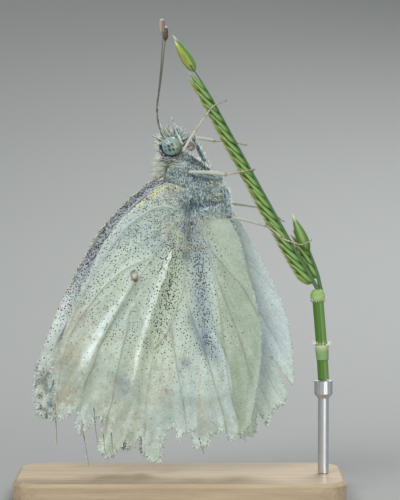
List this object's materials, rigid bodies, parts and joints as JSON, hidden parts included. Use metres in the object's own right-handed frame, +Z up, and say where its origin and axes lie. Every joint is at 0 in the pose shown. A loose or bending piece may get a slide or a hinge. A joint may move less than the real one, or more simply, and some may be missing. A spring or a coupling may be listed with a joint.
{
  "type": "small white butterfly model on a grass perch with a display stand",
  "caption": "Still, life-size white butterfly, wings closed over its back, gripping a cut spike of finger grass that a plain flat base and short rod hold up.",
  "frame": {"origin": "centre of the underside of the stand's base", "axes": "+Z up; the animal's right side faces -Y, its head is up and its underside faces +X, towards the grass"},
  "size_m": [0.03, 0.015, 0.0435],
  "materials": {
    "wing": "scaled, matt, slightly translucent",
    "body": "hairy, matt",
    "feeler": "finely scaled, ringed",
    "leg": "smooth, scaled",
    "eye": "finely faceted, glossy",
    "tongue": "smooth, ribbed",
    "grass": "fresh, satin",
    "steel": "brushed",
    "base": "satin lacquer"
  },
  "bodies": {
    "root": {"head": "body", "thorax": "body", "abdomen": "body", "proboscis_coil": "tongue", "eye_right": "eye", "eye_left": "eye", "palp_right": "body", "palp_left": "body", "antenna_right": "feeler", "antenna_left": "feeler", "forewing_right": "wing", "forewing_left": "wing", "hindwing_right": "wing", "hindwing_left": "wing", "leg_fore_right": "leg", "leg_fore_left": "leg", "leg_mid_right": "leg", "leg_mid_left": "leg", "leg_hind_right": "leg", "leg_hind_left": "leg", "perch_grass": "grass", "stand_rod": "steel", "stand_base": "base"}
  },
  "joints": []
}
